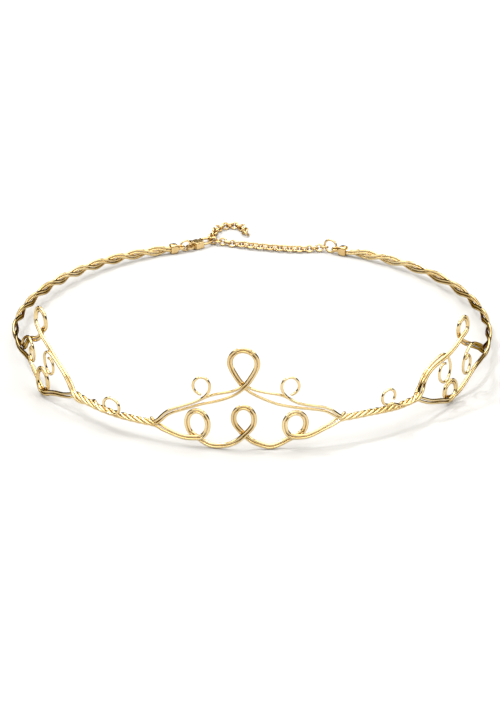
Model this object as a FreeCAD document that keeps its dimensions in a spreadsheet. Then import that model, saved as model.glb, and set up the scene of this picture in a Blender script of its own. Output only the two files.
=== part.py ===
import FreeCAD, Part

import math
import os
from FreeCAD import Placement, Rotation, Vector

# A wire circlet that stands on a table: a closed band of four round wires, twisted at the
# front and at the rear and spread into loops at the front and at both sides. Millimetres,
# +Z up, the front motif at -Y, the clasp and its chain at +Y, the lowest point at Z = 0.

doc = FreeCAD.newDocument("Circlet")
sheet = doc.addObject("Spreadsheet::Sheet", "Sizes")

# alias, size, meaning
SIZES = [
    ("half_width", 89.5, "band, half of its width across the head"),
    ("half_depth", 93.0, "band, half of its depth from brow to nape"),
    ("wire_radius", 0.5, "every wire of the band"),
    ("pair_half_gap", 0.54, "half the distance between two wires that run side by side"),
    ("weave_depth", 0.62, "how far a wire stands out of the band where it crosses another"),
    ("rope_radius", 0.80, "front twist, axis to the centre of a wire"),
    ("groove_radius", 1.62, "front twist, axis to a wire that lies in its groove"),
    ("rope_end", 69.5, "end of the front twist, measured along the band from the front"),
    ("strand_half_gap", 0.54, "rear twist, half the distance between the two wires of a strand"),
    ("strand_rise", 1.10, "rear twist, height of a strand's middle above the axis at its top"),
    ("strand_depth", 0.80, "rear twist, depth of a strand's middle off the axis where it crosses"),
    ("crimp_start", 249.4, "face of the crimp where the wires go in, along the band"),
    ("crimp_length", 3.4, "crimp block along the wires"),
    ("crimp_width", 3.2, "crimp block across the wires"),
    ("crimp_height", 4.0, "crimp block, height"),
    ("crimp_round", 0.6, "crimp block, radius of its edges"),
    ("crimp_pocket", 2.4, "crimp pocket, width and height"),
    ("crimp_pocket_depth", 2.6, "crimp pocket, depth"),
    ("eye_radius", 1.75, "crimp eye, outer radius"),
    ("eye_hole", 1.0, "crimp eye, radius of the hole"),
    ("eye_thickness", 1.0, "crimp eye, thickness"),
    ("eye_reach", 1.3, "crimp eye, centre beyond the end of the block"),
    ("right_ring_radius", 2.6, "right jump ring, to the centre of its wire"),
    ("left_ring_radius", 2.1, "left jump ring, to the centre of its wire"),
    ("ring_wire", 0.42, "jump rings, radius of the wire"),
    ("clasp_thickness", 2.9, "clasp, thickness at the lever"),
    ("clasp_bar", 0.5, "clasp, radius of the hook's bar"),
    ("clasp_slot", 1.4, "clasp, slot that the lever turns in"),
    ("clasp_height", 1.6, "clasp, height of its middle plane above the table"),
    ("lever_thickness", 1.2, "lever, thickness"),
    ("pin_radius", 0.5, "clasp, pin of the lever"),
    ("pin_hole", 0.56, "lever, radius of the hole for the pin"),
    ("link_pitch", 2.0, "chain, distance from link to link"),
    ("link_half_length", 1.46, "chain link, half of its length at the wire's centre"),
    ("link_half_width", 1.36, "chain link, half of its width at the wire's centre"),
    ("link_wire", 0.37, "chain link, radius of the wire"),
]
for row, (alias, size, meaning) in enumerate(SIZES, start=1):
    sheet.set("A%d" % row, meaning)
    sheet.set("B%d" % row, str(size))
    sheet.setAlias("B%d" % row, alias)
doc.recompute()
size = {alias: float(sheet.get(alias)) for alias, _, _ in SIZES}

BAND_RADIUS = (size["half_width"] + size["half_depth"]) / 2
LEFT, RIGHT = -1, 1
# Stretch of the left side that is pressed in, from and to along the band, and how deep
PRESSED_IN = (84.0, 148.0, 1.2)

# Twists of each side. The front one: where it starts along the band and the turns to its end.
# What is left of a strand's offset an eighth of a turn after its top
EIGHTH_TURN = 0.76
# Last rows of a wire, in the crimp: distance from its face
CRIMP_ROWS = (0.6, 2.0)
# The rear one: where one of its strands is on top, from the upper strand's start, and where the
# strands last cross. "axis" rows are distance along the band and height of the axis. The two
# sides differ a little, as bent by hand.
FRONT_TWIST = {
    LEFT: {"start": 32.5, "turns": 3, "axis": [(32.5, 7.0), (50, 7.0), (60, 7.6), (69.5, 9.0)]},
    RIGHT: {"start": 35.4, "turns": 3, "axis": [(35.4, 9.5), (47, 9.4), (60, 8.6), (69.5, 9.2)]},
}
REAR_TWIST = {
    LEFT: {"tops": [112.5, 130.8, 145.6, 158.7, 171.4, 184.2, 195.0, 205.1, 215.2, 225.0, 234.4, 244.0],
           "last_crossing": 248.4,
           "axis": [(112.5, 9.0), (125, 7.2), (150, 5.2), (175, 4.5), (205, 3.8), (235, 2.7), (245, 2.2)]},
    RIGHT: {"tops": [119.5, 135.0, 148.4, 161.3, 175.0, 189.4, 204.0, 217.4, 229.8, 241.1],
            "last_crossing": 246.6,
            "axis": [(119.5, 7.0), (135, 5.9), (150, 5.2), (175, 4.5), (205, 3.7), (235, 2.7), (245, 2.2)]},
}
CRIMP_AXIS_HEIGHT = size["crimp_height"] / 2

# Angle of every wire of the band about the front twist's axis where the front motif begins.
SLOT_DEG = {"upper_a": 90.0, "upper_b": 0.0, "lower_a": 180.0, "lower_b": 270.0}


def band(along, height, depth):
    """Point at a distance along the band from its front, above the table, and out of the band.

    The left side is pressed in a little behind its motif.
    """
    start, end, dent = PRESSED_IN
    if start < -along < end:
        depth -= dent * math.sin(math.pi * (-along - start) / (end - start)) ** 2
    turn = along / BAND_RADIUS
    x = (size["half_width"] + depth) * math.sin(turn)
    y = -(size["half_depth"] + depth) * math.cos(turn)
    return Vector(x, y, height)


def blend(low, high, share):
    return low + (high - low) * share


def look_up(table, along):
    """Value between the rows of a two-column table."""
    for (near, first), (far, second) in zip(table, table[1:]):
        if along <= far:
            return blend(first, second, max(0.0, (along - near) / (far - near)))
    return table[-1][1]


def smooth(rows, spacing):
    """Rows at an even spacing along a smooth curve through the given rows."""
    fine = []
    steps = 12
    ends = [tuple(2 * a - b for a, b in zip(rows[0], rows[1]))]
    ends.append(tuple(2 * a - b for a, b in zip(rows[-1], rows[-2])))
    padded = [ends[0]] + rows + [ends[1]]
    for before, start, end, after in zip(padded, padded[1:], padded[2:], padded[3:]):
        for step in range(steps):
            t = step / steps
            fine.append(tuple(
                0.5 * (2 * b + (c - a) * t + (2 * a - 5 * b + 4 * c - d) * t ** 2
                       + (3 * b - a - 3 * c + d) * t ** 3)
                for a, b, c, d in zip(before, start, end, after)))
    fine.append(rows[-1])
    lengths = [0.0]
    for a, b in zip(fine, fine[1:]):
        lengths.append(lengths[-1] + math.hypot(b[0] - a[0], b[1] - a[1]))
    count = max(1, round(lengths[-1] / spacing))
    even = []
    place = 0
    for number in range(count + 1):
        target = lengths[-1] * number / count
        while place < len(fine) - 2 and lengths[place + 1] < target:
            place += 1
        share = (target - lengths[place]) / max(1e-9, lengths[place + 1] - lengths[place])
        even.append(tuple(blend(a, b, share) for a, b in zip(fine[place], fine[place + 1])))
    return even


def oval(centre, radii, start_deg, end_deg, count):
    """Points (along, height) on an oval loop, between two angles from the side away from the front."""
    points = []
    for number in range(count + 1):
        angle = math.radians(blend(start_deg, end_deg, number / count))
        points.append((centre[0] + radii[0] * math.cos(angle), centre[1] + radii[1] * math.sin(angle)))
    return points


def woven_loop(centre, radii, start_deg, end_deg, count, extra):
    """Loop rows whose depth goes evenly from in front of the band to behind it, or back."""
    first, last = extra
    rows = []
    for number, point in enumerate(oval(centre, radii, start_deg, end_deg, count)):
        depth = blend(first, last, number / count)
        rows.append(point + (size["pair_half_gap"], depth, depth))
    return rows


def pair(rows, spacing=1.7):
    """Two wires beside a centre line whose rows are: along, height, half gap, depth a, depth b."""
    even = smooth(rows, spacing)
    left_wire = []
    right_wire = []
    for number, (along, height, half_gap, depth_a, depth_b) in enumerate(even):
        before = even[max(0, number - 1)]
        after = even[min(len(even) - 1, number + 1)]
        run = after[0] - before[0]
        rise = after[1] - before[1]
        reach = math.hypot(run, rise)
        normal = (-rise / reach, run / reach)
        left_wire.append((along + normal[0] * half_gap, height + normal[1] * half_gap, depth_a))
        right_wire.append((along - normal[0] * half_gap, height - normal[1] * half_gap, depth_b))
    return left_wire, right_wire


W = size["weave_depth"]
G = size["pair_half_gap"]

# Upper strand of the front motif, from the left twist over the tall loop to the right twist.
# along, height, half gap, depth of the upper wire, depth of the lower wire
UPPER_LEFT = [
    (-30.6, 9.3, 0.60, -0.25, 0.40),
    (-28.6, 11.4, 0.56, -0.40, 0.15),
    (-26.2, 12.9, 0.55, -0.50, 0.05),
    (-22.5, 14.5, 0.55, -0.55, 0.00),
    (-17.5, 16.7, 0.60, -0.55, 0.00),
    (-14.2, 18.2, 0.95, -0.50, 0.00),
    (-10.8, 19.5, 1.30, -0.15, 0.00),
    (-7.2, 20.7, 1.20, 0.15, 0.10),
    (-3.8, 22.0, 0.85, 0.45, 0.45),
    (-1.2, 23.6, 0.58, W, W),
    (1.4, 26.1, G, W, W),
]
UPPER_LOOP = woven_loop((0.0, 33.5), (5.0, 5.0), -28, 208, 8, (W, -W))
UPPER_RIGHT = [
    (-1.4, 26.1, G, -W, -W),
    (1.2, 23.6, 0.58, -W, -W),
    (4.2, 22.0, 0.90, -0.50, -0.50),
    (8.2, 20.6, 1.35, -0.30, -0.20),
    (12.4, 19.3, 1.75, -0.35, 0.00),
    (15.8, 18.0, 1.45, -0.55, 0.00),
    (19.2, 16.5, 0.80, -0.55, 0.00),
    (24.0, 15.3, 0.55, -0.55, 0.00),
    (29.8, 13.8, 0.55, -0.50, 0.10),
    (33.4, 11.6, 0.60, -0.25, 0.40),
]
# Lower strand: left loop, dip, middle loop, dip, right loop.
LOWER_START = [
    (-30.3, 5.7, 0.62, -0.3, 0.1),
    (-26.4, 4.6, G, 0.2, 0.2),
    (-21.5, 3.7, G, W, W),
]
LEFT_LOOP = woven_loop((-16.8, 9.1), (4.0, 5.1), -82, 232, 10, (W, -W))
LEFT_DIP = [
    (-15.4, 2.6, G, -W, -W),
    (-12.8, 1.35, G, -0.3, -0.3),
    (-10.0, 1.07, G, 0.0, 0.0),
    (-5.4, 2.0, G, 0.4, 0.4),
    (-2.0, 3.8, G, W, W),
]
MIDDLE_LOOP = woven_loop((0.1, 12.0), (3.8, 4.6), -48, 228, 8, (W, -W))
RIGHT_DIP = [
    (2.0, 3.8, G, -W, -W),
    (5.4, 2.1, G, -0.4, -0.4),
    (9.7, 1.07, G, 0.0, 0.0),
    (13.4, 1.9, G, -0.5, -0.5),
    (16.6, 3.5, G, -W, -W),
]
RIGHT_LOOP = woven_loop((18.7, 9.2), (4.05, 4.6), -60, 262, 10, (-W, W))
LOWER_END = [
    (23.2, 4.6, G, W, W),
    (28.7, 6.4, G, 0.2, 0.2),
    (33.2, 8.1, 0.62, -0.3, 0.1),
]

# Single wire of each front curl, from the twist to its free end. along, height, depth
FRONT_CURLS = {
    LEFT: [
        (30.8, 9.9, 1.25), (28.9, 12.1, 0.85), (26.4, 13.9, 0.65), (22.7, 15.5, 0.58), (18.0, 17.6, 0.58),
        (14.6, 19.6, 0.60), (12.5, 22.1, 0.60), (12.0, 24.8, 0.55), (13.2, 27.0, 0.50),
        (15.4, 27.6, 0.45), (17.6, 26.2, 0.40), (18.3, 23.7, 0.40), (17.2, 21.6, 0.40),
        (15.2, 20.7, 0.45),
    ],
    RIGHT: [
        (33.7, 12.2, 1.20), (30.4, 14.6, 0.72), (24.2, 16.3, 0.58), (19.8, 17.6, 0.58),
        (16.4, 19.6, 0.60), (14.2, 22.0, 0.60), (13.5, 24.6, 0.55), (14.6, 27.0, 0.50),
        (16.9, 27.9, 0.45), (19.2, 26.6, 0.40), (20.0, 24.0, 0.40), (18.9, 21.8, 0.40),
        (16.9, 20.9, 0.45),
    ],
}
FRONT_CURL_TAIL = 2.4

# Side motifs, measured away from the front.
# along, height, half gap, depth of the upper wire, depth of the lower wire
SIDE_UPPER = {
    LEFT: [
        (71.3, 11.6, 0.66, -0.1, 0.45), (73.4, 14.3, G, 0.0, 0.1), (76.4, 16.5, G, 0.0, 0.0),
        (79.6, 18.4, G, 0.0, 0.0), (82.8, 20.8, G, 0.1, 0.1), (85.8, 23.3, G, 0.4, 0.4),
        (88.6, 25.0, G, W, W), (91.0, 26.6, G, W, W),
    ] + woven_loop((90.7, 30.6), (3.4, 4.1), -35, 215, 8, (W, -W)) + [
        (90.4, 26.2, G, -W, -W), (92.4, 23.4, G, -W, -W), (95.2, 21.0, G, -0.4, -0.4),
        (98.8, 19.5, G, 0.0, 0.0), (102.6, 17.9, G, 0.0, 0.0), (106.2, 15.5, G, 0.0, 0.0),
        (109.4, 12.4, 0.60, 0.0, 0.0),
    ],
    RIGHT: [
        (71.2, 12.0, 0.66, -0.1, 0.45), (72.9, 15.2, G, 0.0, 0.1), (76.0, 17.9, G, 0.0, 0.0),
        (80.6, 19.4, G, 0.0, 0.0), (86.0, 20.4, G, 0.2, 0.2), (90.4, 22.2, G, 0.5, 0.5),
        (94.2, 24.2, G, W, W),
    ] + woven_loop((96.6, 27.7), (2.9, 3.4), -40, 215, 8, (W, -W)) + [
        (95.0, 24.0, G, -W, -W), (97.2, 21.6, G, -W, -W), (100.2, 19.5, G, -0.4, -0.4),
        (104.7, 17.0, G, 0.0, 0.0), (109.0, 14.7, G, 0.0, 0.0), (113.0, 12.5, G, 0.0, 0.0),
        (116.6, 10.2, 0.58, 0.0, 0.0),
    ],
}
SIDE_LOWER = {
    LEFT: [
        (71.6, 7.4, 0.62, -0.4, 0.1), (76.0, 6.0, G, 0.0, 0.0), (80.6, 5.0, G, 0.0, 0.0),
        (84.4, 3.9, G, 0.4, 0.4), (87.4, 2.6, G, W, W),
    ] + woven_loop((90.5, 6.5), (3.6, 4.4), -72, 244, 10, (W, -W)) + [
        (91.8, 2.1, 0.56, -W, -W), (95.6, 4.2, 0.58, -0.5, -0.5), (99.6, 7.1, G, -0.1, -0.1),
        (104.4, 8.9, G, 0.0, 0.0), (109.4, 8.4, G, 0.0, 0.0),
    ],
    RIGHT: [
        (71.6, 7.6, 0.62, -0.4, 0.1), (76.5, 5.2, G, 0.0, 0.0), (82.0, 3.6, G, 0.3, 0.3),
        (86.0, 2.3, G, W, W),
    ] + woven_loop((88.5, 5.6), (3.3, 3.4), -72, 244, 9, (W, -W)) + [
        (90.6, 1.7, G, -W, -W), (95.2, 2.3, G, -0.3, -0.3), (100.6, 4.3, G, 0.0, 0.0),
        (106.5, 6.0, G, 0.0, 0.0), (112.0, 6.4, G, 0.0, 0.0), (116.2, 6.1, G, 0.0, 0.0),
    ],
}
# Curl that hangs from the upper strand near the front twist. along, height, depth. The left
# one lies in front of the band, the right one behind it, as their grooves in the twist lead.
SIDE_FRONT_CURL = {
    LEFT: [
        (71.6, 12.8, 1.15), (73.8, 15.3, 1.15), (76.6, 17.4, 1.10), (79.8, 19.5, 1.15),
        (82.8, 20.9, 1.25), (85.3, 19.8, 1.30), (86.6, 17.0, 0.95), (86.3, 13.7, 0.55),
        (84.4, 11.6, 0.45), (82.1, 12.3, 0.45), (81.2, 14.7, 0.45), (81.9, 16.9, 0.45),
        (83.3, 18.2, 0.45), (84.7, 17.6, 0.45),
    ],
    RIGHT: [
        (71.0, 12.8, -1.15), (73.2, 16.3, -1.15), (76.2, 18.8, -1.15), (80.2, 20.3, -1.15),
        (84.6, 20.9, -1.15), (87.8, 18.8, -1.05), (89.0, 15.2, -0.60), (88.1, 11.6, -0.40),
        (85.5, 9.7, -0.40), (82.6, 11.0, -0.40), (81.5, 13.8, -0.40), (82.3, 16.4, -0.40),
        (84.0, 17.6, -0.40), (85.7, 16.9, -0.40),
    ],
}
# Curl that hangs from the upper strand near the rear twist.
SIDE_REAR_CURL = {
    LEFT: [
        (110.2, 13.0, 1.35), (107.2, 16.2, 1.15), (103.6, 18.6, 1.15), (100.2, 19.9, 1.15),
        (97.6, 19.2, 1.25), (96.1, 16.6, 0.95), (96.5, 13.2, 0.55), (98.3, 10.8, 0.45),
        (100.5, 10.9, 0.45), (101.6, 13.1, 0.45), (101.0, 15.2, 0.45), (99.5, 16.2, 0.45), (98.3, 15.2, 0.45),
    ],
    RIGHT: [
        (112.6, 13.8, 1.20), (108.4, 16.2, 1.15), (104.2, 18.3, 1.15), (100.6, 18.9, 1.25),
        (97.8, 17.4, 1.25), (96.3, 14.6, 0.90), (96.4, 11.2, 0.55), (98.0, 8.4, 0.45),
        (100.6, 7.9, 0.45), (102.4, 9.7, 0.45), (102.8, 12.2, 0.45), (101.6, 14.4, 0.45),
        (99.8, 14.9, 0.45), (98.6, 13.6, 0.45),
    ],
}

# Wire that stands out of the front twist as a curl. "groove_deg" is its angle about the axis
# where the twist ends, "leaves" where it leaves the groove, then its rows on the way to the
# spiral: along, height, depth. The spiral turns between two angles and tightens.
STANDING_CURL = {
    LEFT: {"groove_deg": 45.0, "leaves": 56.4, "rows": [(54.4, 7.4, 1.92)],
           "centre": (50.0, 10.7), "radii": (3.7, 3.3), "angles": (-64, -395), "tightens_to": 0.85},
    RIGHT: {"groove_deg": 135.0, "leaves": 65.4,
            "rows": [(62.8, 9.2, 1.95), (60.2, 9.7, 1.95), (57.8, 10.5, 1.95)],
            "centre": (54.3, 14.6), "radii": (3.1, 3.2), "angles": (-62, -400), "tightens_to": 0.80},
}
STANDING_DEPTH = 1.92
SPIRAL_STEPS = 12


def rope_lead(side):
    twist = FRONT_TWIST[side]
    return (size["rope_end"] - twist["start"]) / twist["turns"]


def around(axis_height, radius, angle_deg, along):
    """Row (along, height, depth) at an angle about a twist's axis: 0 is outwards, 90 is up."""
    angle = math.radians(angle_deg)
    return (along, axis_height + radius * math.sin(angle), radius * math.cos(angle))


def rope_rows(side, slot):
    """One wire of the front twist, eight rows to a turn."""
    twist = FRONT_TWIST[side]
    steps = twist["turns"] * 8
    radius = size["rope_radius"] / math.cos(math.pi / 8)
    rows = []
    for step in range(steps + 1):
        along = blend(twist["start"], size["rope_end"], step / steps)
        rows.append(around(look_up(twist["axis"], along), radius, SLOT_DEG[slot] + 45.0 * step, along))
    return rows


def stacked(middles, half_gap):
    """Rows of one wire of a pair that stays one above the other, the gap square to the run."""
    rows = []
    for number, (along, height, depth) in enumerate(middles):
        before = middles[max(0, number - 1)]
        after = middles[min(len(middles) - 1, number + 1)]
        slope = (after[1] - before[1]) / (after[0] - before[0])
        rows.append((along, height + half_gap * math.hypot(1.0, slope), depth))
    return rows


def coil_rows(side, slot):
    """One wire of the rear twist, ten rows to a turn, and its way into the crimp.

    The two strands turn about the axis, but the two wires of a strand stay one above the other.
    """
    twist = REAR_TWIST[side]
    tops = list(enumerate(twist["tops"]))
    last_top = len(tops) - 1
    turned = 90.0 if slot.startswith("upper") else 270.0
    half_gap = size["strand_half_gap"] if slot.endswith("_a") else -size["strand_half_gap"]
    widen = 1 / math.cos(math.pi / 10)
    middles = []
    for step in range(5 * last_top + 1):
        along = look_up([(5 * number, top) for number, top in tops], step)
        angle = math.radians(turned + 36.0 * step)
        height = look_up(twist["axis"], along) + size["strand_rise"] * widen * math.sin(angle)
        middles.append((along, height, size["strand_depth"] * widen * math.cos(angle)))
    depth = math.copysign(1.0, math.cos(math.radians(turned + 180.0 * last_top + 90.0)))
    fall = math.copysign(1.0, math.sin(math.radians(turned + 180.0 * last_top)))
    crossing = twist["last_crossing"]
    halfway = (twist["tops"][-1] + crossing) / 2
    middles.append((halfway, look_up(twist["axis"], halfway) + fall * size["strand_rise"] * EIGHTH_TURN,
                    depth * size["strand_depth"] * EIGHTH_TURN))
    middles.append((crossing, CRIMP_AXIS_HEIGHT, depth * G))
    for reach in CRIMP_ROWS:
        middles.append((size["crimp_start"] + reach, CRIMP_AXIS_HEIGHT, depth * G))
    return stacked(middles, half_gap)


def groove_rows(side, start_along, start_deg, end_along):
    """Rows of a wire that lies in a groove of the front twist."""
    lead = rope_lead(side)
    steps = max(1, round(abs(end_along - start_along) / lead * 8))
    rows = []
    for step in range(steps + 1):
        along = blend(start_along, end_along, step / steps)
        angle = start_deg + 360.0 * (along - start_along) / lead
        radius = size["groove_radius"] / math.cos(math.pi / 8)
        rows.append(around(look_up(FRONT_TWIST[side]["axis"], along), radius, angle, along))
    return rows


def placed(side, rows):
    """Rows measured away from the front, as points on the left or the right of the band."""
    return [band(side * along, height, depth) for along, height, depth in rows]


class Spool:
    """One long wire: its control points, each with the name of the piece it belongs to."""

    def __init__(self):
        self.names = []
        self.points = []

    def add(self, name, points):
        self.names += [name] * len(points)
        self.points += points

    def pieces(self):
        """Piece name with its own control points, cut halfway between neighbouring pieces."""
        start = 0
        for stop in range(1, len(self.points) + 1):
            if stop < len(self.points) and self.names[stop] == self.names[start]:
                continue
            points = self.points[start:stop]
            if start > 0:
                points = [(self.points[start - 1] + self.points[start]) * 0.5] + points
            if stop < len(self.points):
                points = points + [(self.points[stop - 1] + self.points[stop]) * 0.5]
            yield self.names[start], points, start > 0, stop < len(self.points)
            start = stop


SHORTEST_RUN = 0.0003


def rounded_path(points, joined_before, joined_after):
    """Straight runs between control points, with a tangent arc at every turn."""
    middles = [(a + b) * 0.5 for a, b in zip(points, points[1:])]
    if joined_before:
        middles[0] = points[0]
    if joined_after:
        middles[-1] = points[-1]
    edges = []

    def run(start, end):
        if (end - start).Length > SHORTEST_RUN:
            edges.append(Part.makeLine(start, end))

    if not joined_before:
        run(points[0], middles[0])
    for number in range(1, len(points) - 1):
        start, corner, end = middles[number - 1], points[number], middles[number]
        reach = min((corner - start).Length, (end - corner).Length)
        heading = (corner - start).normalize()
        leaving = (end - corner).normalize()
        half_turn = heading.getAngle(leaving) / 2
        arc_start = corner - heading * reach
        arc_end = corner + leaving * reach
        if half_turn < 1e-4:
            run(start, end)
            continue
        radius = reach / math.tan(half_turn)
        inward = (leaving - heading).normalize()
        arc_middle = corner + inward * (radius / math.cos(half_turn) - radius)
        if (arc_start - start).Length <= SHORTEST_RUN:
            arc_start = start
        if (end - arc_end).Length <= SHORTEST_RUN:
            arc_end = end
        run(start, arc_start)
        edges.append(Part.Arc(arc_start, arc_middle, arc_end).toShape())
        run(arc_end, end)
    if not joined_after:
        run(middles[-1], points[-1])
    return Part.Wire(edges)


def wire_solid(path, radius):
    """Round wire along a path."""
    first = path.OrderedEdges[0]
    start = first.valueAt(first.FirstParameter)
    heading = first.tangentAt(first.FirstParameter)
    ring = Part.Wire([Part.makeCircle(radius, start, heading)])
    return path.makePipeShell([ring], True, False)


SUB_PARTS = []


def add_feature(name, shape, placement=None):
    """Sub-part whose shape is worked out here from the sheet's sizes."""
    feature = doc.addObject("Part::Feature", name)
    feature.Label = name
    feature.Shape = shape
    feature.Placement = placement or Placement()
    SUB_PARTS.append(feature)
    return feature


def add_wires(spool):
    for name, points, before, after in spool.pieces():
        path = rounded_path(points, before, after)
        add_feature(name, wire_solid(path, size["wire_radius"]))


def side_name(side):
    return "left" if side == LEFT else "right"


def band_wires():
    """The four wires that run right round, each cut into pieces at the ends of the twists."""
    upper = pair(UPPER_LEFT + UPPER_LOOP + UPPER_RIGHT)
    lower = pair(LOWER_START + LEFT_LOOP + LEFT_DIP + MIDDLE_LOOP + RIGHT_DIP + RIGHT_LOOP + LOWER_END)
    front = {"upper_a": upper[0], "upper_b": upper[1], "lower_a": lower[0], "lower_b": lower[1]}
    motif = {}
    for side in (LEFT, RIGHT):
        side_upper = pair(SIDE_UPPER[side])
        side_lower = pair(SIDE_LOWER[side])
        motif[side] = {"upper_a": side_upper[0], "upper_b": side_upper[1],
                       "lower_a": side_lower[0], "lower_b": side_lower[1]}
    for slot in SLOT_DEG:
        spool = Spool()
        arms = {}
        for side in (LEFT, RIGHT):
            ending = "%s_%s" % (side_name(side), slot)
            arms[side] = [
                ("front_twist_" + ending, placed(side, rope_rows(side, slot))),
                ("side_" + ending, placed(side, motif[side][slot])),
                ("rear_twist_" + ending, placed(side, coil_rows(side, slot))),
            ]
        for name, points in reversed(arms[LEFT]):
            spool.add(name, points[::-1])
        spool.add("front_%s" % slot, [band(*row) for row in front[slot]])
        for name, points in arms[RIGHT]:
            spool.add(name, points)
        add_wires(spool)


def front_curl(side):
    """Single wire that starts in a groove of the twist and ends in a curl beside the tall loop."""
    start = FRONT_TWIST[side]["start"]
    tail = groove_rows(side, start, 45.0, start + FRONT_CURL_TAIL)[::-1]
    spool = Spool()
    rows = smooth(FRONT_CURLS[side], 1.7)
    spool.add("front_curl_%s" % side_name(side), placed(side, tail + rows))
    add_wires(spool)


def standing_and_hanging_curl(side):
    """Single wire: standing curl, a groove of the twist, then the curl that hangs in the side motif."""
    curl = STANDING_CURL[side]
    spiral = []
    for step in range(SPIRAL_STEPS + 1):
        share = step / SPIRAL_STEPS
        angle = math.radians(blend(curl["angles"][0], curl["angles"][1], share))
        tight = blend(1.0, curl["tightens_to"], share ** 2)
        spiral.append((curl["centre"][0] + curl["radii"][0] * tight * math.cos(angle),
                       curl["centre"][1] + curl["radii"][1] * tight * math.sin(angle), STANDING_DEPTH))
    groove = groove_rows(side, size["rope_end"], curl["groove_deg"], curl["leaves"])
    wire = (groove + curl["rows"] + spiral)[::-1]
    hanging = smooth(SIDE_FRONT_CURL[side], 1.7)
    spool = Spool()
    spool.add("standing_curl_%s" % side_name(side), placed(side, wire))
    spool.add("side_front_curl_%s" % side_name(side), placed(side, hanging))
    add_wires(spool)


def rear_curl(side):
    """Single wire whose end lies along the upper strand and whose curl hangs in the side motif."""
    rows = smooth(SIDE_REAR_CURL[side], 1.7)
    spool = Spool()
    spool.add("side_rear_curl_%s" % side_name(side), placed(side, rows))
    add_wires(spool)


def bound(kind, name, **expressions):
    """Primitive whose sizes are bound to the sheet."""
    shape = doc.addObject(kind, name)
    for prop, expression in expressions.items():
        shape.setExpression(prop, expression)
    return shape


def band_frame(side, along, height):
    """Placement whose X points along the band, away from the front, with Z up."""
    here = band(side * along, height, 0.0)
    ahead = band(side * (along + 0.5), height, 0.0)
    heading = math.degrees(math.atan2(ahead.y - here.y, ahead.x - here.x))
    return Placement(here, Rotation(Vector(0, 0, 1), heading))


def crimp(side):
    """Folded metal end: a rounded block with a pocket for the four wires, and a flat eye."""
    label = side_name(side)
    block = bound("Part::Box", "block_" + label, Length="Sizes.crimp_length",
                  Width="Sizes.crimp_width", Height="Sizes.crimp_height")
    block.Placement = Placement(Vector(0, -size["crimp_width"] / 2, -size["crimp_height"] / 2), Rotation())
    doc.recompute()
    rounded = doc.addObject("Part::Fillet", "rounded_block_" + label)
    rounded.Base = block
    rounded.Edges = [(number, size["crimp_round"], size["crimp_round"]) for number in range(1, 13)]
    eye = bound("Part::Cylinder", "eye_" + label, Radius="Sizes.eye_radius", Height="Sizes.eye_thickness")
    eye_x = size["crimp_length"] + size["eye_reach"]
    eye.Placement = Placement(Vector(eye_x, 0, -size["eye_thickness"] / 2), Rotation())
    neck = bound("Part::Box", "neck_" + label, Length="Sizes.eye_reach + 1",
                 Width="Sizes.eye_radius * 2", Height="Sizes.eye_thickness")
    neck.Placement = Placement(
        Vector(size["crimp_length"] - 1, -size["eye_radius"], -size["eye_thickness"] / 2), Rotation())
    solid = doc.addObject("Part::MultiFuse", "solid_" + label)
    solid.Shapes = [rounded, neck, eye]
    pocket = bound("Part::Box", "pocket_" + label, Length="Sizes.crimp_pocket_depth",
                   Width="Sizes.crimp_pocket", Height="Sizes.crimp_pocket")
    pocket.Placement = Placement(Vector(0, -size["crimp_pocket"] / 2, -size["crimp_pocket"] / 2), Rotation())
    hole = bound("Part::Cylinder", "hole_" + label, Radius="Sizes.eye_hole", Height="Sizes.eye_thickness + 2")
    hole.Placement = Placement(Vector(eye_x, 0, -size["eye_thickness"] / 2 - 1), Rotation())
    tools = doc.addObject("Part::MultiFuse", "openings_" + label)
    tools.Shapes = [pocket, hole]
    piece = doc.addObject("Part::Cut", "crimp_" + label)
    piece.Base = solid
    piece.Tool = tools
    piece.Label = "crimp_" + label
    piece.Placement = band_frame(side, size["crimp_start"], CRIMP_AXIS_HEIGHT)
    SUB_PARTS.append(piece)
    return piece.Placement.multVec(Vector(eye_x, 0, 0)), piece.Placement.Rotation.multVec(Vector(1, 0, 0))


def jump_ring(name, eye, heading, radius):
    """Ring that stands on the table and passes through a crimp's eye; gives the ring's centre."""
    height = size[radius] + size["ring_wire"] + TABLE_GAP
    reach = math.sqrt(size[radius] ** 2 - (height - eye.z) ** 2)
    centre = Vector(eye.x, eye.y, height) + heading * reach
    ring = bound("Part::Torus", name, Radius1="Sizes." + radius, Radius2="Sizes.ring_wire")
    ring.Label = name
    across = Vector(-heading.y, heading.x, 0)
    ring.Placement = Placement(centre, Rotation(Vector(0, 0, 1), across))
    SUB_PARTS.append(ring)
    return centre


# Clasp, in its own frame: X from the tail eye to the hook, Y towards the lever, Z up.
CLASP_HEADING_DEG = 47.0
CLASP_EYE_RADIUS = 1.8
CLASP_EYE_HOLE = 1.15
CLASP_EYE_THICKNESS = 0.8
PIVOT = (4.6, 1.1)
TABLE_GAP = 0.02
# Centre line of the hook's bar: x, y
HOOK_LINE = [(4.0, -1.55), (6.0, -2.1), (8.4, -2.45), (10.9, -2.0), (12.1, 0.0), (11.1, 2.0), (9.6, 2.35)]
LEVER_TIP = (8.7, 2.3)
LEVER_HALF_WIDTH = 0.62
THUMB = (3.6, 3.4)
# Points of the bar that a link hangs on, and the direction in which its chain leaves: x, y, degrees
HOLDS_MAIN = (10.8, -1.78, -57.0)
HOLDS_TAIL = (11.75, 0.7, 22.0)
LINK_BEYOND_BAR = 0.44
# The link in the right ring: how far beyond the ring's middle line, and its height
LINK_BEYOND_RING = 0.42
LINK_ON_RING = 2.0
# Where the chain lies on the way from the ring to the hook: x, y and least height
BESIDE_RING = (-4.0, -0.2, 1.58)
MAIN_ROUTE = [(14.0, 88.4, 1.2), (0.0, 90.6, 0.0)]
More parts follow.
